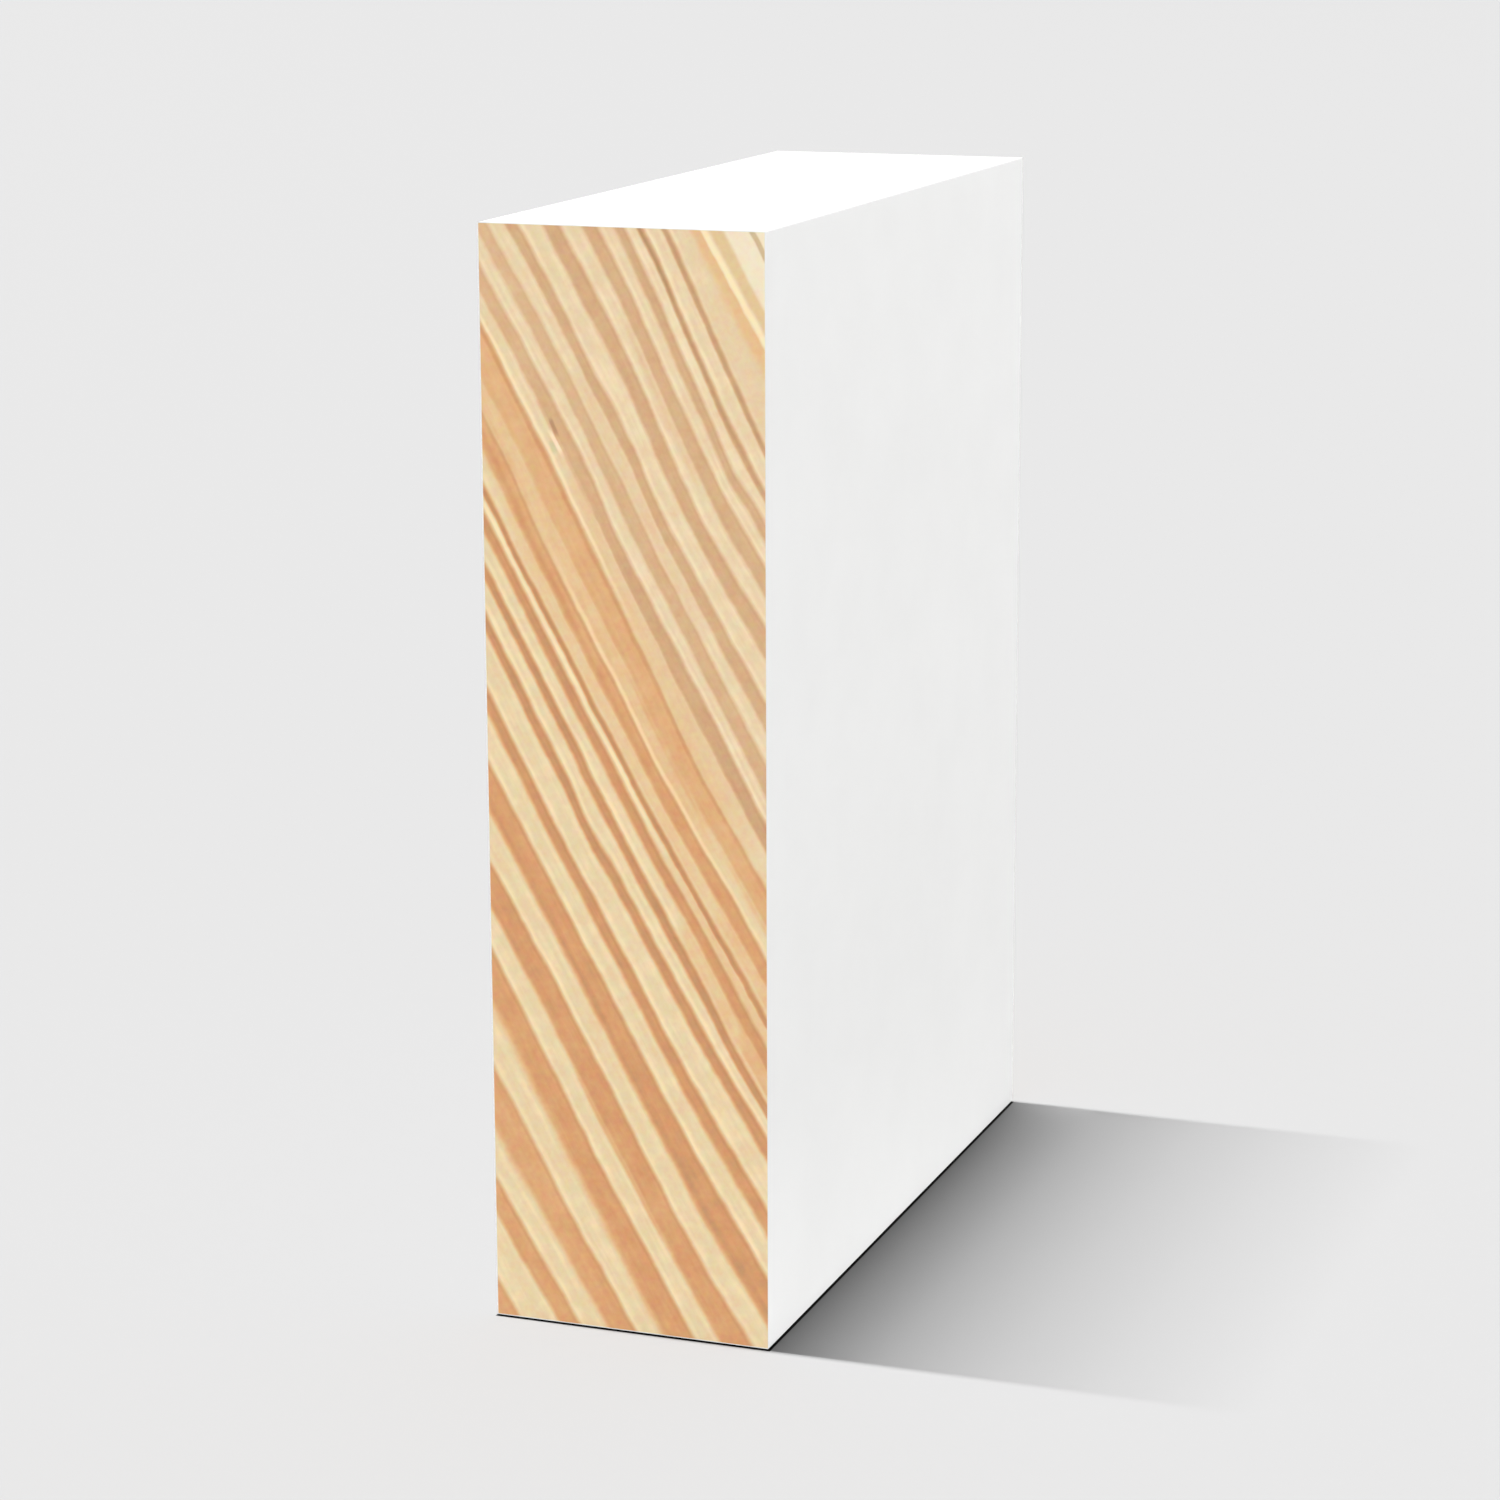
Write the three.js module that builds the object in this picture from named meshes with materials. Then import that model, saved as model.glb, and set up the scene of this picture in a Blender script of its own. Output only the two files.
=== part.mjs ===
// Square-edge softwood moulding: a short length, cut square at both ends and
// standing on its narrow edge. The four long faces are primed, the sawn ends are
// bare end grain.
//
// Millimetres. +X runs across the thickness, +Y along the length and +Z up.
// The origin is at the middle of the underside.

import * as THREE from 'three';

// Driving dimensions
const thickness = 18;
const faceWidth = 68;
const length = 52;
const arrisRadius = 0.1;
const arrisSegments = 4;

// Finishes. The primer is a coat on the wood, so it has no solid of its own.
const barePine = new THREE.MeshStandardMaterial({
  name: 'bare_pine',
  color: 0xe6c79c,
  roughness: 0.85,
  metalness: 0,
});
const whitePrimer = new THREE.MeshStandardMaterial({
  name: 'primer',
  color: 0xf1f1ee,
  roughness: 0.6,
  metalness: 0,
});

// The cross-section across the grain: a rectangle whose long arrises are just
// eased, as a planer leaves them. It stands on y = 0, centred on x = 0.
function mouldingSection() {
  const side = thickness / 2;
  const left = -side + arrisRadius;
  const right = side - arrisRadius;
  const low = arrisRadius;
  const high = faceWidth - arrisRadius;
  const quarter = Math.PI / 2;
  const section = new THREE.Shape();
  section.absarc(right, low, arrisRadius, -quarter, 0);
  section.absarc(right, high, arrisRadius, 0, quarter);
  section.absarc(left, high, arrisRadius, quarter, 2 * quarter);
  section.absarc(left, low, arrisRadius, 2 * quarter, 3 * quarter);
  section.closePath();
  return section;
}

// The section runs on unchanged between the two square-cut ends. An extrusion's
// first material covers its ends and its second the faces around it.
function mouldingLength() {
  const geometry = new THREE.ExtrudeGeometry(mouldingSection(), {
    depth: length,
    steps: 1,
    bevelEnabled: false,
    curveSegments: arrisSegments,
  });
  const moulding = new THREE.Mesh(geometry, [barePine, whitePrimer]);
  moulding.name = 'moulding';
  moulding.rotation.x = Math.PI / 2;
  moulding.position.y = length / 2;
  return moulding;
}

const part = new THREE.Group();
part.name = 'timber_moulding';
part.add(mouldingLength());

export default part;
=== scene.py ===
import math

import bmesh
import bpy
import numpy as np
from mathutils import Matrix, Vector


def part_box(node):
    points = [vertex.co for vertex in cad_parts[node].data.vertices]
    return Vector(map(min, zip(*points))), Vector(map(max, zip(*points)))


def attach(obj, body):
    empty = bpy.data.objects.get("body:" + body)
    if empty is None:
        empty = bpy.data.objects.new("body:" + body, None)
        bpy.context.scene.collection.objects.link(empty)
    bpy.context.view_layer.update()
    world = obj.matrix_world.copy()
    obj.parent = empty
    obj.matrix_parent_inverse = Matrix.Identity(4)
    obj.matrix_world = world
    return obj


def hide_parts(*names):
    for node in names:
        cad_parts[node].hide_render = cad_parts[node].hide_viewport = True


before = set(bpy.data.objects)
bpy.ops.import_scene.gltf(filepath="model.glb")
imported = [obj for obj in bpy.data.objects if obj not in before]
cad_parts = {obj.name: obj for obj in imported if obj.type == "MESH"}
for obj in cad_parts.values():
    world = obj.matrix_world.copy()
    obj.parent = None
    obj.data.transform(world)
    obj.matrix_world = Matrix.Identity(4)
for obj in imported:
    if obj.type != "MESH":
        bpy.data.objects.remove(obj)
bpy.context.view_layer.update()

mouldLow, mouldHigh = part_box("moulding")
mouldSize = mouldHigh - mouldLow
mm = 0.001
scene = bpy.context.scene
scene.view_settings.view_transform = "Standard"


# Turns a screen colour (0 to 255) into the paint that shows it in this light. The
# numbers inside are those of a screen's own curve.
def paint(red, green, blue, light=1.0, veil=0.0):
    made = []
    for value in (red, green, blue):
        share = value / 255
        if share > 0.04045:
            share = ((share + 0.055) / 1.055) ** 2.4
        else:
            share /= 12.92
        made.append(max(share - veil, 0.0) / light)
    return (*made, 1.0)


def clearSelection():
    if bpy.context.mode != "OBJECT":
        bpy.ops.object.mode_set(mode="OBJECT")
    bpy.ops.object.select_all(action="DESELECT")


# Selects, in edit mode, the edges or faces whose place passes the test
def pick(kind, test):
    bpy.ops.mesh.select_mode(type=kind)
    bpy.ops.mesh.select_all(action="DESELECT")
    cage = bmesh.from_edit_mesh(bpy.context.object.data)
    parts = cage.edges if kind == "EDGE" else cage.faces
    for part in parts:
        if test(part):
            part.select_set(True)
    bmesh.update_edit_mesh(bpy.context.object.data)


def runsAlong(axis):
    def test(edge):
        step = edge.verts[1].co - edge.verts[0].co
        return abs(step[axis]) > 0.99 * step.length
    return test


def startBox(name, low, high):
    clearSelection()
    low, high = Vector(low), Vector(high)
    bpy.ops.mesh.primitive_cube_add(size=1, location=(low + high) / 2, scale=high - low, calc_uvs=False)
    bpy.ops.object.transform_apply(location=True, rotation=True, scale=True)
    bpy.context.object.name = name
    bpy.context.object.data.name = name
    return bpy.context.object


# One node with its settings; inputs are values or the sockets that feed them
def put(tree, kind, inputs=None, **settings):
    node = tree.nodes.new(kind)
    for name, value in settings.items():
        setattr(node, name, value)
    for key, value in (inputs or {}).items():
        if isinstance(value, bpy.types.NodeSocket):
            tree.links.new(value, node.inputs[key])
        else:
            node.inputs[key].default_value = value
    count = len(tree.nodes)
    node.location = (200 * (count // 10), -170 * (count % 10))
    return node


def calc(tree, operation, first, second=0.0):
    return put(tree, "ShaderNodeMath", {0: first, 1: second}, operation=operation).outputs[0]


def ease(tree, value, start, end, low=0.0, high=1.0, smooth=True):
    return put(
        tree, "ShaderNodeMapRange",
        {"Value": value, "From Min": start, "From Max": end, "To Min": low, "To Max": high},
        interpolation_type="SMOOTHSTEP" if smooth else "LINEAR",
    ).outputs[0]


def blendColors(tree, share, first, second, mode="MIX"):
    node = put(tree, "ShaderNodeMix", {"Factor": share}, data_type="RGBA", blend_type=mode)
    for socket, value in ((node.inputs[6], first), (node.inputs[7], second)):
        if isinstance(value, bpy.types.NodeSocket):
            tree.links.new(value, socket)
        else:
            socket.default_value = value
    return node.outputs[2]


def ramp(tree, factor, stops):
    node = put(tree, "ShaderNodeValToRGB", {"Fac": factor})
    elements = node.color_ramp.elements
    while len(elements) < len(stops):
        elements.new(0.5)
    for element, (place, color) in zip(elements, stops):
        element.position = place
        element.color = color
    return node.outputs[0]


def newMaterial(name):
    material = bpy.data.materials.new(name)
    material.use_nodes = True
    tree = material.node_tree
    return material, tree, tree.nodes["Principled BSDF"]


def newGroup(name, inputs, outputs):
    group = bpy.data.node_groups.new(name, "ShaderNodeTree")
    for socket in inputs:
        group.interface.new_socket(socket, in_out="INPUT", socket_type="NodeSocketFloat")
    for socket in outputs:
        group.interface.new_socket(socket, in_out="OUTPUT", socket_type="NodeSocketFloat")
    return group, put(group, "NodeGroupInput").outputs, put(group, "NodeGroupOutput")


# Camera: where it stands, fitted to the corners of the piece
cameraView = {
    "place": (89.39 * mm, -247.73 * mm, 92.28 * mm),
    "azimuth": 20.171,
    "elevation": 13.068,
    "roll": -0.224,
    "lens": 98.59,
    "sensor": 36,
    "nearest": 0.01,
    "farthest": 10.0,
}


def makeCamera(v):
    turn, rise, roll = (math.radians(v[k]) for k in ("azimuth", "elevation", "roll"))
    back = Vector((math.sin(turn) * math.cos(rise), -math.cos(turn) * math.cos(rise), math.sin(rise)))
    level = Vector((math.cos(turn), math.sin(turn), 0))
    upright = back.cross(level)
    right = level * math.cos(roll) + upright * math.sin(roll)
    up = upright * math.cos(roll) - level * math.sin(roll)
    bpy.ops.object.camera_add(location=v["place"])
    camera = bpy.context.object
    camera.name = "photoCamera"
    camera.rotation_mode = "QUATERNION"
    camera.rotation_quaternion = Matrix((right, up, back)).transposed().to_quaternion()
    camera.data.sensor_width = v["sensor"]
    camera.data.lens = v["lens"]
    camera.data.clip_start = v["nearest"]
    camera.data.clip_end = v["farthest"]
    scene.camera = camera


clearSelection()
makeCamera(cameraView)
print("camera placed")


# Floor: one wide pale sheet, just clear of the underside. Its colour is painted dark where
# the piece stands on it and a little beyond: a painted contact shadow, so that the foot has its dark line.
floorLook = {
    "halfWidth": 40.0,
    "gap": 0.1 * mm,
    "reflects": 0.18,
    # the floor's colour under the piece: painted shade
    "paintedShadeUnderFoot": 0.01,
    "paintedShadeEdge": (0.07 * mm, 0.13 * mm),      # where the painted shadow stops, beyond the foot
}


def makeFloor(v):
    clearSelection()
    bpy.ops.mesh.primitive_plane_add(size=2 * v["halfWidth"], location=(0, 0, mouldLow.z - v["gap"]))
    floor = bpy.context.object
    floor.name = "floor"
    material, tree, shader = newMaterial("floorPaper")
    place = put(tree, "ShaderNodeSeparateXYZ", {0: put(tree, "ShaderNodeTexCoord").outputs["Object"]})
    beyond = []
    for axis in (0, 1):
        fromMiddle = calc(tree, "SUBTRACT", place.outputs[axis], (mouldLow[axis] + mouldHigh[axis]) / 2)
        beyond.append(calc(tree, "SUBTRACT", calc(tree, "ABSOLUTE", fromMiddle), mouldSize[axis] / 2))
    # painted contact shadow: the floor colour is dark under the piece and a little past its edges
    clear = ease(tree, calc(tree, "MAXIMUM", *beyond), *v["paintedShadeEdge"])
    color = blendColors(tree, clear, (v["paintedShadeUnderFoot"],) * 3 + (1,), (v["reflects"],) * 3 + (1,))
    tree.links.new(color, shader.inputs["Base Color"])
    shader.inputs["Roughness"].default_value = 1.0
    shader.inputs["Specular IOR Level"].default_value = 0.0
    floor.data.materials.append(material)
    return floor


floor = makeFloor(floorLook)
print("floor laid")


# Growth rings of the end grain. Each row is one year: where its dark latewood stops
# short, at five places from the left edge to the right, along the line that crosses
# the rings; then how wide the latewood is and how dark, at the left and at the right;
# then how softly it starts. Millimetres, and 1 is full latewood. The rows were first
# read, and then corrected, in many rounds, from tones and edges that were
# measured across the rings. The bends, tones and tints below came the same way.
ringTable = {
    "A": ((1.20, 1.55, 1.85, 2.15, 2.45), (1.40, 1.40), (0.76, 0.76), 0.30),
    "B": ((4.38, 4.80, 5.15, 5.45, 5.85), (1.12, 1.12), (0.85, 0.86), 0.30),
    "C": ((7.88, 7.89, 8.13, 8.35, 8.75), (1.70, 1.25), (0.78, 0.98), 0.55),
    "D": ((11.52, 11.41, 11.38, 11.56, 11.95), (1.60, 1.93), (0.90, 0.94), 0.75),
    "E": ((14.15, 14.35, 14.33, 14.38, 14.96), (1.56, 1.55), (1.00, 0.86), 0.42),
    "F": ((17.18, 17.22, 17.28, 17.42, 17.90), (1.50, 1.55), (0.95, 1.02), 0.40),
    "G": ((19.36, 19.23, 19.38, 19.52, 20.02), (0.71, 0.84), (1.07, 1.02), 0.36),
    "H": ((21.58, 21.47, 21.50, 21.72, 22.22), (0.56, 0.68), (1.15, 1.04), 0.30),
    "I": ((23.07, 23.00, 22.94, 23.17, 23.27), (0.49, 0.65), (1.15, 1.12), 0.28),
    "J": ((24.59, 24.52, 24.57, 24.80, 24.98), (0.66, 0.76), (1.06, 0.98), 0.35),
    "K": ((25.44, 25.33, 25.35, 25.56, 25.93), (0.34, 0.34), (1.15, 1.10), 0.18),
    "L": ((27.57, 27.16, 27.13, 27.21, 27.60), (1.04, 0.92), (0.74, 0.90), 0.35),
    "M": ((30.04, 30.04, 29.74, 29.39, 29.73), (1.78, 1.34), (0.60, 0.68), 0.50),
    "N": ((31.77, 31.92, 31.56, 31.70, 31.64), (0.88, 0.80), (0.66, 1.00), 0.28),
    "O": ((33.34, 33.60, 33.52, 33.38, 33.40), (0.97, 1.07), (0.57, 0.74), 0.34),
    "P": ((34.90, 35.20, 35.22, 34.92, 35.22), (0.68, 0.84), (0.79, 0.81), 0.30),
    "Q": ((37.10, 37.35, 37.46, 36.93, 37.39), (0.94, 0.98), (0.84, 0.80), 0.32),
    "R": ((39.31, 39.43, 39.49, 38.98, 39.12), (0.76, 1.06), (0.80, 0.75), 0.34),
    "S": ((41.30, 41.20, 41.01, 40.50, 40.35), (0.54, 0.70), (0.92, 0.76), 0.34),
    "T": ((42.30, 42.20, 42.05, 41.57, 41.29), (0.24, 0.38), (1.75, 0.98), 0.20),
    "U": ((43.80, 43.70, 43.50, 43.15, 42.57), (0.32, 0.38), (1.12, 1.04), 0.20),
    "V": ((45.90, 45.80, 45.60, 45.22, 45.45), (0.55, 0.55), (0.05, 0.05), 0.80),
    "W": ((47.10, 47.00, 46.80, 46.55, 46.45), (0.62, 0.62), (0.05, 0.05), 0.20),
    "X": ((48.60, 48.50, 48.40, 48.20, 48.03), (0.30, 0.30), (0.30, 0.30), 0.12),
}
# Where one ring bends by itself between those places: place across, shift and reach
ringBends = [
    ("D", 6.8, -0.10, 1.3), ("G", 11.2, -0.05, 1.3), ("H", 6.8, -0.24, 1.2), ("H", 15.8, -0.08, 1.2),
    ("I", 15.8, -0.16, 1.2), ("J", 11.2, -0.10, 1.2), ("K", 2.3, -0.10, 1.2), ("L", 2.3, 0.10, 1.2),
    ("L", 11.2, -0.14, 1.2), ("L", 15.8, 0.10, 1.2), ("M", 6.8, -0.08, 1.3), ("M", 11.2, 0.11, 1.3),
    ("N", 6.8, 0.19, 1.2), ("O", 11.2, -0.10, 1.2), ("P", 6.8, -0.15, 1.2), ("P", 11.2, -0.21, 1.2),
    ("Q", 15.8, -0.08, 1.2), ("R", 15.8, -0.10, 1.2), ("S", 11.2, 0.10, 0.9), ("S", 15.8, -0.30, 1.1),
    ("T", 11.4, 0.16, 0.9), ("T", 15.8, -0.12, 1.1),
]
ringTilt = math.radians(28.9)  # the rings are crossed square by a line at this slope
ringStations = 5


# How far across the rings a point of the end lies, with each ring brought to the
# place that it has at the middle station. x from the left edge, z from the foot, mm.
def ringLevels(x, z):
    straight = x * math.cos(ringTilt) + z * math.sin(ringTilt)
    names = list(ringTable)
    edges = np.array([row[0] for row in ringTable.values()])
    spot = np.clip(x / (mouldSize.x / mm), 0, 1) * (ringStations - 1)
    left = np.minimum(spot.astype(int), ringStations - 2)
    part = spot - left
    before = edges[:, np.maximum(left - 1, 0)]
    here = edges[:, left]
    after = edges[:, left + 1]
    beyond = edges[:, np.minimum(left + 2, ringStations - 1)]
    curve = 0.5 * (
        2 * here
        + (after - before) * part
        + (2 * before - 5 * here + 4 * after - beyond) * part ** 2
        + (3 * here - before - 3 * after + beyond) * part ** 3
    )
    for name, place, shift, reach in ringBends:
        curve[names.index(name)] += shift * np.exp(-((x - place) / reach) ** 2)
    middle = edges[:, ringStations // 2]
    levels = np.empty(len(x))
    for i, value in enumerate(straight):
        own = curve[:, i]
        if value < own[0]:
            levels[i] = middle[0] + value - own[0]
        elif value > own[-1]:
            levels[i] = middle[-1] + value - own[-1]
        else:
            levels[i] = np.interp(value, own, middle)
    return levels


# How much latewood there is at each level, for the relief
def latewoodShare(levels, across, stop):
    share = np.zeros(len(levels))
    for places, widths, tones, soft in ringTable.values():
        depth = places[ringStations // 2] - levels
        width = widths[0] + (widths[1] - widths[0]) * across
        tone = tones[0] + (tones[1] - tones[0]) * across
        rise = np.clip((width + soft / 2 - depth) / soft, 0, 1)
        fall = np.clip((depth + stop / 2) / stop, 0, 1)
        share = np.maximum(share, rise * fall * tone)
    return np.clip(share, 0, 1)


# Bare pine: the wood inside the primer, with its end grain cut into real low relief
pineBoard = {
    "coat": 0.05 * mm,
    "relief": 0.02 * mm,
    "reliefStop": 0.2,     # over how many mm the relief of one ring ends
    "cutsAcross": (71,),
    "cutsUp": (16, 16),
    # where each side lies on the map named OFBake: the ends large and the
    # sides under the primer small. Facing, across, up, corner, and map widths per mm.
    "sidesOnMap": (
        ((0, -1, 0), (1, 0, 0), (0, 0, 1), (0.010, 0.010), 0.0144),
        ((0, 1, 0), (-1, 0, 0), (0, 0, 1), (0.290, 0.010), 0.0144),
        ((-1, 0, 0), (0, -1, 0), (0, 0, 1), (0.570, 0.010), 0.0052),
        ((1, 0, 0), (0, 1, 0), (0, 0, 1), (0.570, 0.385), 0.0052),
        ((0, 0, -1), (0, 1, 0), (1, 0, 0), (0.570, 0.760), 0.0052),
        ((0, 0, 1), (0, -1, 0), (1, 0, 0), (0.570, 0.875), 0.0052),
    ),
}


# Lays each side of a box flat on its own part of the map
def layOnMap(mesh, sides):
    points = np.empty(len(mesh.vertices) * 3, np.float32)
    mesh.vertices.foreach_get("co", points)
    corners = np.empty(len(mesh.loops), np.int32)
    mesh.loops.foreach_get("vertex_index", corners)
    points = points.reshape(-1, 3)[corners] / mm
    normals = np.empty(len(mesh.polygons) * 3, np.float32)
    mesh.polygons.foreach_get("normal", normals)
    counts = np.empty(len(mesh.polygons), np.int32)
    mesh.polygons.foreach_get("loop_total", counts)
    normals = np.repeat(normals.reshape(-1, 3), counts, axis=0)
    places = np.zeros((len(corners), 2), np.float32)
    for facing, across, up, corner, size in sides:
        own = normals @ np.array(facing) > 0.7
        for i, way in enumerate((across, up)):
            along = points[own] @ np.array(way)
            places[own, i] = corner[i] + size * (along - along.min())
    layer = mesh.uv_layers.new(name="OFBake")
    layer.data.foreach_set("uv", places.ravel())


def makeBoard(v):
    inset = Vector((v["coat"], 0, v["coat"]))
    board = startBox("pineBoard", mouldLow + inset, mouldHigh - inset)
    bpy.ops.object.mode_set(mode="EDIT")
    for axis, cuts in ((0, v["cutsAcross"]), (2, v["cutsUp"])):
        for count in cuts:
            pick("EDGE", runsAlong(axis))
            bpy.ops.mesh.subdivide(number_cuts=count)
    bpy.ops.object.mode_set(mode="OBJECT")

    mesh = board.data
    points = np.empty(len(mesh.vertices) * 3, np.float32)
    mesh.vertices.foreach_get("co", points)
    points = points.reshape(-1, 3).astype(float)
    x = (points[:, 0] - mouldLow.x) / mm
    z = (points[:, 2] - mouldLow.z) / mm
    levels = ringLevels(x, z)
    attribute = mesh.attributes.new("ringLevel", "FLOAT", "POINT")
    attribute.data.foreach_set("value", levels.astype(np.float32))

    hollow = 1 - latewoodShare(levels, x / (mouldSize.x / mm), v["reliefStop"])
    for end, side in (("nearEnd", -1), ("farEnd", 1)):
        group = board.vertex_groups.new(name=end)
        for i in np.flatnonzero(points[:, 1] * side > 0):
            group.add([int(i)], float(hollow[i]), "REPLACE")
        relief = board.modifiers.new(end, "DISPLACE")
        relief.direction = "Y"
        relief.mid_level = 0
        relief.strength = -side * v["relief"]
        relief.vertex_group = end
        bpy.ops.object.modifier_apply(modifier=end)
    board.vertex_groups.clear()
    layOnMap(mesh, v["sidesOnMap"])
    return board


board = makeBoard(pineBoard)
print("pine board cut:", len(board.data.polygons), "faces")


# How the tone runs through one year, in mm before (+) and after (-) the place where its
# latewood stops short
ringShape = {
    "softShare": 0.6,               # how much of its softness lies on each side of the start
    "stop": (-0.18, 0.18),          # the latewood is gone, and is full
    "lastLine": (0.30, 0.08),       # the dark last line starts, and is full
    "paleAfter": (-0.48, -0.22, -0.05),     # the pale line is gone, is full, and starts
    "paleBefore": (0.32, 0.06),     # the same before the soft start: starts, and is full
    "paleShares": (-0.14, -0.05),   # how pale it gets after and before
}


# One year of the end grain. It adds its latewood and its dark last line to what the
# years before it give.
def makeRingGroup(v):
    group, given, out = newGroup(
        "growthRing",
        ["Level", "Across", "Edge", "Width Left", "Width Right", "Tone Left", "Tone Right",
         "Softness", "Latewood", "Last Line"],
        ["Latewood", "Last Line"],
    )
    width = ease(group, given["Across"], 0.0, 1.0, given["Width Left"], given["Width Right"], False)
    tone = ease(group, given["Across"], 0.0, 1.0, given["Tone Left"], given["Tone Right"], False)
    depth = calc(group, "SUBTRACT", given["Edge"], given["Level"])
    half = calc(group, "MULTIPLY", given["Softness"], v["softShare"])
    outer = calc(group, "ADD", width, half)
    inner = calc(group, "SUBTRACT", width, half)
    rise = ease(group, depth, outer, inner)
    fall = ease(group, depth, *v["stop"])
    band = calc(group, "MULTIPLY", rise, fall)
    latewood = calc(group, "MULTIPLY", band, tone)
    nearEdge = ease(group, depth, *v["lastLine"])
    line = calc(group, "MULTIPLY", calc(group, "MULTIPLY", nearEdge, fall), tone)
    # the wood is palest right after the last line, and a little before the soft start
    gone, full, start = v["paleAfter"]
    after = calc(group, "SUBTRACT", ease(group, depth, gone, full), ease(group, depth, full, start))
    farOut, nearOut = (calc(group, "ADD", outer, reach) for reach in v["paleBefore"])
    before = calc(group, "SUBTRACT", ease(group, depth, farOut, nearOut), rise)
    afterShare, beforeShare = v["paleShares"]
    pale = calc(group, "ADD", calc(group, "MULTIPLY", after, afterShare),
                calc(group, "MULTIPLY", before, beforeShare))
    paleShare = calc(group, "MULTIPLY", pale, tone)
    total = calc(group, "ADD", given["Latewood"], calc(group, "ADD", latewood, paleShare))
    group.links.new(total, out.inputs["Latewood"])
    group.links.new(calc(group, "ADD", given["Last Line"], line), out.inputs["Last Line"])
    return group


pineLook = {
    "light": 1.035,      # how brightly the room lights an upright face
    "veil": 0.012,       # what gloss adds to every colour
    "tones": (           # latewood tone, colour low on the end, colour high on the end
        (-0.25, (252, 229, 186), (250, 230, 193)),
        (0.00, (235, 213, 172), (236, 213, 175)),
        (0.30, (234, 200, 154), (233, 202, 162)),
        (0.60, (229, 181, 133), (223, 185, 144)),
        (0.85, (222, 167, 119), (216, 174, 133)),
        (1.00, (217, 158, 112), (211, 168, 128)),
        (1.15, (205, 152, 110), (203, 160, 120)),
        (1.30, (194, 147, 106), (188, 150, 111)),
    ),
    "mutedFrom": (29.6, 31.2),
    "wobble": ((1400, 0.06), (420, 0.24)),   # noise scale, and how far it moves the rings, mm
    "tanEdges": ((-0.15, 0.20), (0.25, -0.25)),      # over which a tanned patch starts and stops
    # earlywood that is tanned in patches: levels from and to, tone, middle across, reach
    "tanned": (
        (25.40, 27.2, 0.24, 0.45, 0.50),
        (27.05, 28.7, 0.35, 0.36, 0.62),
        (29.70, 31.0, 0.28, 0.62, 0.42),
        (33.60, 34.4, 0.20, 0.55, 0.26),
        (23.05, 24.6, 0.55, 1.00, 0.15),
        (24.50, 25.1, 0.30, 0.95, 0.40),
        (25.45, 26.4, 0.34, 1.00, 0.24),
        (43.60, 44.9, 0.12, 1.00, 0.30),
        (12.60, 12.9, 0.70, 0.47, 0.20),
        (30.58, 30.8, 0.62, 0.30, 0.12),
        (23.00, 23.9, 0.32, 0.79, 0.13),
        (27.95, 28.3, 0.58, 0.64, 0.16),
        (27.95, 28.4, 0.36, 0.95, 0.15),
        (38.05, 38.5, 0.30, 0.64, 0.16),
    ),
    "innerSoft": 0.18,
    # thin darker lines inside the latewood: level, width, tone at the left and right
    "innerLines": (
        (3.98, 0.22, 0.22, 0.00),
        (16.15, 0.28, 0.10, 0.08),
        (28.35, 0.25, 0.00, 0.16),
        (29.52, 0.22, 0.28, 0.14),
        (26.50, 0.30, 0.16, 0.00),
    ),
    "layers": (3.2, 0.30),       # the fine layers inside each year: noise scale and strength
    "layerRun": (0.07, 40),      # how fast they change along a ring, and along the timber
    "patches": (700.0, 0.42),    # patches along the rings: noise scale and strength
    "castScale": 1300.0,
    "cast": (                    # pink to green
        (0.37, (1.0, 0.955, 0.96, 1)),
        (0.50, (0.99, 0.99, 0.99, 1)),
        (0.63, (0.96, 1.0, 0.985, 1)),
    ),
    "mottle": (2600.0, 0.15),    # the finest colour mottle: noise scale and strength
    "roughness": (0.85, 0.72),   # of earlywood and of latewood
    "gloss": 0.2,
    "tooth": (3500.0, 0.25, 0.02 * mm),      # saw's tooth: noise scale, strength and depth
    "lastLine": (0.30, 0.20),                # low and high on the end
    "lastLineColor": (180, 134, 93),
    "tintCore": 0.05,        # how far inside its levels a tint is full
    # tints: levels from and to, softness of each side, colour, share, middle across, reach
    "tints": (
        (45.08, 45.46, 0.45, 0.10, (234, 190, 139), 0.85, 0.5, 2.0),
        (46.04, 46.46, 0.22, 0.36, (230, 199, 152), 0.88, 0.5, 2.0),
        (46.80, 60.00, 0.25, 0.10, (247, 233, 204), 0.90, 0.5, 2.0),
        (45.54, 45.74, 0.15, 0.22, (253, 234, 192), 1.00, 0.5, 2.0),
        (48.10, 48.38, 0.10, 0.10, (211, 185, 144), 0.90, 0.5, 2.0),
        (29.86, 29.98, 0.10, 0.14, (253, 230, 190), 0.75, 0.1, 0.50),
        (27.20, 27.34, 0.10, 0.16, (250, 222, 176), 0.75, 0.6, 0.42),
    ),
    # a small check: dark dash, pale sliver and grey patch, each from and to, and width
    "check": (
        ((4.36, 56.75), (4.98, 55.35), 0.13, (194, 151, 114)),
        ((4.40, 55.35), (4.84, 54.35), 0.17, (220, 207, 162)),
        ((4.28, 56.05), (5.36, 54.15), 0.12, (253, 230, 196)),
    ),
}


# A fine unevenness of the surface
def addBump(tree, shader, place, scale, strength, deep):
    noise = put(tree, "ShaderNodeTexNoise", {"Vector": place, "Scale": scale, "Detail": 2.0})
    bump = put(tree, "ShaderNodeBump", {"Height": noise.outputs["Fac"], "Strength": strength,
                                        "Distance": deep})
    tree.links.new(bump.outputs[0], shader.inputs["Normal"])


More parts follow.
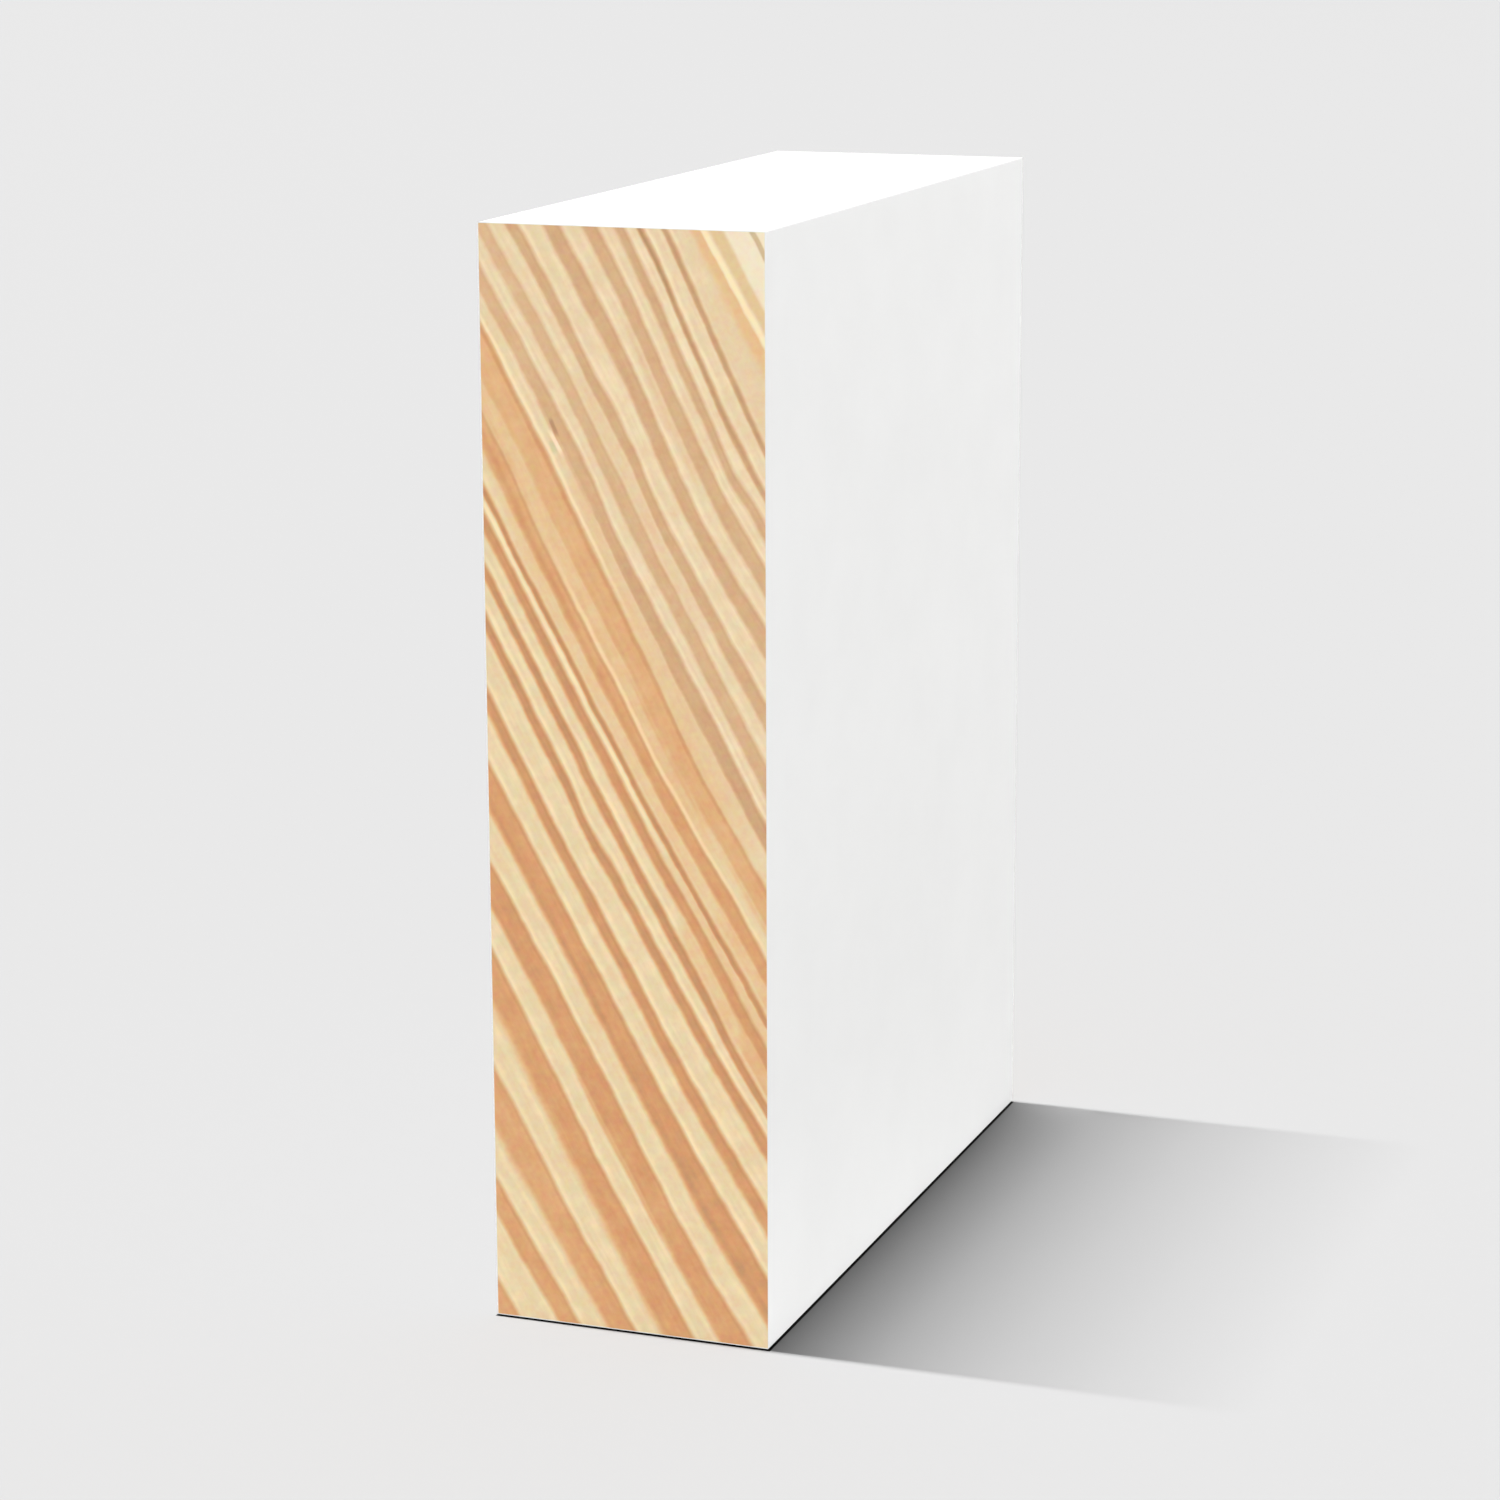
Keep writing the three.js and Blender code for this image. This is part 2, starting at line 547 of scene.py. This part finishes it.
# Raises the tone between two levels, most at one place across
def addTan(tree, latewood, level, across, row, edges):
    start, end, tone, middle, reach = row
    rise, fall = edges
    inside = calc(tree, "MULTIPLY", ease(tree, level, start + rise[0], start + rise[1]),
                  ease(tree, level, end + fall[0], end + fall[1]))
    away = calc(tree, "ABSOLUTE", calc(tree, "SUBTRACT", across, middle))
    share = calc(tree, "MULTIPLY", inside, ease(tree, away, reach, reach * 0.5))
    lift = calc(tree, "MAXIMUM", calc(tree, "SUBTRACT", tone, latewood), 0.0)
    return calc(tree, "ADD", latewood, calc(tree, "MULTIPLY", share, lift))


# Where a short stroke fades: shares of its length at its ends, and of its width beside it
strokeFade = {
    "start": 0.3,
    "end": 0.6,
    "outside": 1.5,
    "inside": 0.4,
}


# 1 on a short stroke drawn on the end, 0 away from it
def strokeMask(tree, x, z, start, end, width, v):
    start, end = Vector(start), Vector(end)
    span = end - start
    along = span.normalized()
    dx = calc(tree, "SUBTRACT", x, start.x)
    dz = calc(tree, "SUBTRACT", z, start.y)
    forward = calc(tree, "ADD", calc(tree, "MULTIPLY", dx, along.x), calc(tree, "MULTIPLY", dz, along.y))
    aside = calc(tree, "SUBTRACT", calc(tree, "MULTIPLY", dx, along.y), calc(tree, "MULTIPLY", dz, along.x))
    within = calc(tree, "MULTIPLY", ease(tree, forward, 0.0, span.length * v["start"]),
                  ease(tree, forward, span.length, span.length * v["end"]))
    beside = ease(tree, calc(tree, "ABSOLUTE", aside), width * v["outside"], width * v["inside"])
    return calc(tree, "MULTIPLY", within, beside)


def makePineMaterial(v):
    material, tree, shader = newMaterial("barePine")
    place = put(tree, "ShaderNodeTexCoord").outputs["Object"]
    apart = put(tree, "ShaderNodeSeparateXYZ", {0: place})
    across = ease(tree, apart.outputs["X"], mouldLow.x, mouldHigh.x, smooth=False)
    x = calc(tree, "MULTIPLY", across, mouldSize.x / mm)
    z = calc(tree, "MULTIPLY", apart.outputs["Z"], 1 / mm)
    level = put(tree, "ShaderNodeAttribute", attribute_name="ringLevel").outputs["Fac"]
    smoothLevel = level
    for scale, size in v["wobble"]:
        noise = put(tree, "ShaderNodeTexNoise", {"Vector": place, "Scale": scale, "Detail": 2.0})
        swing = calc(tree, "MULTIPLY", calc(tree, "SUBTRACT", noise.outputs["Fac"], 0.5), size)
        level = calc(tree, "ADD", level, swing)

    group = makeRingGroup(ringShape)
    middle = ringStations // 2
    rows = [(places[middle], *widths, *tones, soft) for places, widths, tones, soft in ringTable.values()]
    rows += [(line + width / 2, width, width, left, right, v["innerSoft"])
             for line, width, left, right in v["innerLines"]]
    latewood, lastLine = 0.0, 0.0
    keys = ("Edge", "Width Left", "Width Right", "Tone Left", "Tone Right", "Softness")
    for row in rows:
        values = {"Level": level, "Across": across, "Latewood": latewood, "Last Line": lastLine}
        values.update(zip(keys, row))
        ring = put(tree, "ShaderNodeGroup")
        ring.node_tree = group
        for key, value in values.items():
            if isinstance(value, bpy.types.NodeSocket):
                tree.links.new(value, ring.inputs[key])
            else:
                ring.inputs[key].default_value = value
        latewood = ring.outputs["Latewood"]
        lastLine = ring.outputs["Last Line"]
    for row in v["tanned"]:
        latewood = addTan(tree, latewood, smoothLevel, across, row, v["tanEdges"])

    # the fine layers inside each year run with the rings; patches change them along it
    upAlong = calc(tree, "SUBTRACT", calc(tree, "MULTIPLY", z, math.cos(ringTilt)),
                   calc(tree, "MULTIPLY", x, math.sin(ringTilt)))
    alongRing, alongTimber = v["layerRun"]
    layerPlace = put(tree, "ShaderNodeCombineXYZ", {
        0: smoothLevel,
        1: calc(tree, "MULTIPLY", upAlong, alongRing),
        2: calc(tree, "MULTIPLY", apart.outputs["Y"], alongTimber),
    }).outputs[0]
    shares = []
    for where, (scale, strength) in ((layerPlace, v["layers"]), (place, v["patches"])):
        noise = put(tree, "ShaderNodeTexNoise", {"Vector": where, "Scale": scale, "Detail": 3.0})
        shares.append(calc(tree, "MULTIPLY", calc(tree, "SUBTRACT", noise.outputs["Fac"], 0.5), strength))
    latewood = calc(tree, "ADD", latewood, calc(tree, "ADD", *shares))

    lowest, highest = v["tones"][0][0], v["tones"][-1][0]
    factor = ease(tree, latewood, lowest, highest, smooth=False)
    colors = []
    for column in (1, 2):
        stops = [((row[0] - lowest) / (highest - lowest), paint(*row[column], v["light"], v["veil"]))
                 for row in v["tones"]]
        colors.append(ramp(tree, factor, stops))
    muted = ease(tree, level, *v["mutedFrom"])
    color = blendColors(tree, muted, *colors)
    dark = calc(tree, "MULTIPLY", lastLine, ease(tree, muted, 0.0, 1.0, *v["lastLine"]))
    color = blendColors(tree, dark, color, paint(*v["lastLineColor"], v["light"], v["veil"]))
    for start, end, softIn, softOut, tint, share, middle, reach in v["tints"]:
        inside = calc(tree, "MULTIPLY", ease(tree, level, start - softIn, start + v["tintCore"]),
                      ease(tree, level, end + softOut, end - v["tintCore"], 0.0, share))
        away = calc(tree, "ABSOLUTE", calc(tree, "SUBTRACT", across, middle))
        inside = calc(tree, "MULTIPLY", inside, ease(tree, away, reach, reach * 0.5))
        color = blendColors(tree, inside, color, paint(*tint, v["light"], v["veil"]))
    nearEnd = ease(tree, apart.outputs["Y"], 1 * mm, -1 * mm)
    for start, end, width, tint in v["check"]:
        mask = calc(tree, "MULTIPLY", nearEnd, strokeMask(tree, x, z, start, end, width, strokeFade))
        color = blendColors(tree, mask, color, paint(*tint, v["light"], v["veil"]))

    # a faint pink and green cast in small patches
    cast = put(tree, "ShaderNodeTexNoise", {"Vector": place, "Scale": v["castScale"], "Detail": 2.0})
    color = blendColors(tree, 1.0, color, ramp(tree, cast.outputs["Fac"], v["cast"]), "MULTIPLY")
    # and a finer mottle, in which each of the three colours changes by itself
    scale, strength = v["mottle"]
    fine = put(tree, "ShaderNodeTexNoise", {"Vector": place, "Scale": scale, "Detail": 2.0})
    color = blendColors(tree, strength, color, fine.outputs["Color"], "OVERLAY")
    tree.links.new(color, shader.inputs["Base Color"])

    # denser latewood is a little smoother, and the saw leaves a fine tooth
    tree.links.new(ease(tree, latewood, 0.0, 1.0, *v["roughness"], False), shader.inputs["Roughness"])
    shader.inputs["Specular IOR Level"].default_value = v["gloss"]
    addBump(tree, shader, place, *v["tooth"])
    return material


board.data.materials.clear()
board.data.materials.append(makePineMaterial(pineLook))
print("end grain painted")


# Primer: a thin coat over the four long faces, its edges flush with the sawn ends
primerCoat = {
    "thick": 0.05 * mm,
    "arris": 0.06 * mm,
    "arrisSteps": 3,
}


def makeCoat(v):
    coat = startBox("primerCoat", mouldLow, mouldHigh)
    bpy.ops.object.mode_set(mode="EDIT")
    pick("EDGE", runsAlong(1))
    bpy.ops.mesh.bevel(offset=v["arris"], segments=v["arrisSteps"], affect="EDGES")
    pick("FACE", lambda face: abs(face.normal.y) > 0.9)
    bpy.ops.mesh.delete(type="FACE")
    bpy.ops.object.mode_set(mode="OBJECT")
    film = coat.modifiers.new("film", "SOLIDIFY")
    film.thickness = v["thick"]
    film.offset = -1
    film.use_even_offset = True
    bpy.ops.object.modifier_apply(modifier="film")
    return coat


primerLook = {
    "color": 0.797,
    "mottle": (180.0, 0.008),    # noise scale, and how far it moves the colour
    "noiseRange": (0.3, 0.7),    # between which the noise counts
    "blue": 0.995,               # a touch of warmth
    "roughness": 0.6,
    "gloss": 0.3,
    "peel": (900.0, 0.15, 0.02 * mm),        # orange peel: noise scale, strength and depth
}


def makePrimerMaterial(v):
    material, tree, shader = newMaterial("whitePrimer")
    place = put(tree, "ShaderNodeTexCoord").outputs["Object"]
    scale, swing = v["mottle"]
    mottle = put(tree, "ShaderNodeTexNoise", {"Vector": place, "Scale": scale, "Detail": 3.0})
    low, high = v["color"] - swing, v["color"] + swing
    tint = ease(tree, mottle.outputs["Fac"], *v["noiseRange"], low, high, False)
    blue = calc(tree, "MULTIPLY", tint, v["blue"])
    color = put(tree, "ShaderNodeCombineColor", {0: tint, 1: tint, 2: blue})
    tree.links.new(color.outputs[0], shader.inputs["Base Color"])
    shader.inputs["Roughness"].default_value = v["roughness"]
    shader.inputs["Specular IOR Level"].default_value = v["gloss"]
    addBump(tree, shader, place, *v["peel"])
    return material


coat = makeCoat(primerCoat)
coat.data.materials.clear()
coat.data.materials.append(makePrimerMaterial(primerLook))
print("primer laid:", len(coat.data.polygons), "faces")

for piece, slot in ((board, "bare_pine"), (coat, "primer")):
    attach(piece, "root")
    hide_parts("moulding")


# Studio light. A far fan of lamps high on the left lights the floor and throws the
# shadow, which a small lamp softens at the far corner. The piece itself is lit by the
# pale room, a soft lamp overhead and two low fills.
studio = {
    "distance": 20.0,
    "thin": 0.6,                 # how many degrees each lamp of the fan spans, front to back
    "fan": (                     # from and to, in degrees above the floor, and its share
        (90, 88, 0.165),
        (88, 84, 0.295),
        (84, 81, 0.15),
        (81, 78, 0.12),
        (78, 73, 0.145),
        (73, 66, 0.147),
    ),
    "floorTone": 0.691,
    "sky": 0.6,
    "band": 3.0,
    "bandTop": 10.0,
    "bandEdge": (0.9, 1.1),      # where the band fades, in shares of its height
    "backdrop": 0.815,
    "overhead": (2.0, 0.3, 0.75),            # height, size and strength
    "fillWidth": 1 * mm,
    "fills": (                   # gap from the face, ends along it, strength
        (2.0 * mm, (-26 * mm, 26 * mm), 0.115),
        (10.0 * mm, (-34 * mm, 23 * mm), 0.224),
    ),
    "cornerFill": (12 * mm, 8 * mm, 1.6),    # width, height and strength
}


def addLamp(name, place, aim, sizes, watts, receivers, side=(0, 1, 0)):
    data = bpy.data.lights.new(name, "AREA")
    data.shape = "RECTANGLE"
    data.size, data.size_y = sizes
    data.energy = watts
    lamp = bpy.data.objects.new(name, data)
    scene.collection.objects.link(lamp)
    lamp.location = place
    side = Vector(side)
    back = (Vector(place) - Vector(aim)).normalized()
    lamp.rotation_mode = "QUATERNION"
    lamp.rotation_quaternion = Matrix((side.cross(back), side, back)).transposed().to_quaternion()
    lamp.visible_camera = False
    lamp.light_linking.receiver_collection = receivers
    return lamp


def makeStudio(v):
    onFloor = bpy.data.collections.new("litFloor")
    onFloor.objects.link(floor)
    onPiece = bpy.data.collections.new("litPiece")
    for piece in (board, coat):
        onPiece.objects.link(piece)
    total = sum(row[2] for row in v["fan"])
    tone = v["floorTone"] * math.pi / floorLook["reflects"]
    for i, (high, low, share) in enumerate(v["fan"]):
        rise = math.radians((high + low) / 2)
        place = (-v["distance"] * math.cos(rise), 0, v["distance"] * math.sin(rise))
        watts = math.pi * v["distance"] ** 2 * tone * share / total / math.sin(rise)
        sizes = (v["distance"] * math.radians(high - low), v["distance"] * math.radians(v["thin"]))
        addLamp(f"fan{i}", place, (0, 0, 0), sizes, watts, onFloor)
    height, size, strength = v["overhead"]
    watts = (math.pi * height) ** 2 * strength
    addLamp("overhead", (0, 0, height), (0, 0, 0), (size, size), watts, onPiece)
    onPrimer = bpy.data.collections.new("litPrimer")
    onPrimer.objects.link(coat)
    wide = v["fillWidth"]
    for i, (gap, (near, far), strength) in enumerate(v["fills"]):
        place = Vector((mouldHigh.x + gap, (near + far) / 2, wide / 2))
        watts = strength * 2 * math.pi * gap * (far - near)
        addLamp(f"lowFill{i}", place, place - Vector((1, 0, 0)), (wide, far - near), watts, onPrimer)
    wide, tall, strength = v["cornerFill"]
    place = Vector((mouldHigh.x, mouldHigh.y, tall / 2))
    corner = addLamp("cornerFill", place, place - Vector((0, 1, 0)), (wide, tall),
                     strength * math.pi * wide * tall, onFloor, (0, 0, 1))
    corner.light_linking.blocker_collection = onFloor

    world = bpy.data.worlds.new("paleRoom")
    scene.world = world
    world.use_nodes = True
    tree = world.node_tree
    backdrop = tree.nodes["Background"]
    direction = put(tree, "ShaderNodeTexCoord").outputs["Generated"]
    height = put(tree, "ShaderNodeSeparateXYZ", {0: direction}).outputs["Z"]
    top = math.sin(math.radians(v["bandTop"]))
    edge = (top * share for share in v["bandEdge"])
    room = ease(tree, height, *edge, v["sky"] + v["band"], v["sky"])
    seen = put(tree, "ShaderNodeLightPath").outputs["Is Camera Ray"]
    strength = put(tree, "ShaderNodeMix", {0: seen, 2: room, 3: v["backdrop"]}, data_type="FLOAT")
    backdrop.inputs["Color"].default_value = (1, 1, 1, 1)
    tree.links.new(strength.outputs[0], backdrop.inputs["Strength"])


makeStudio(studio)
print("studio lit")
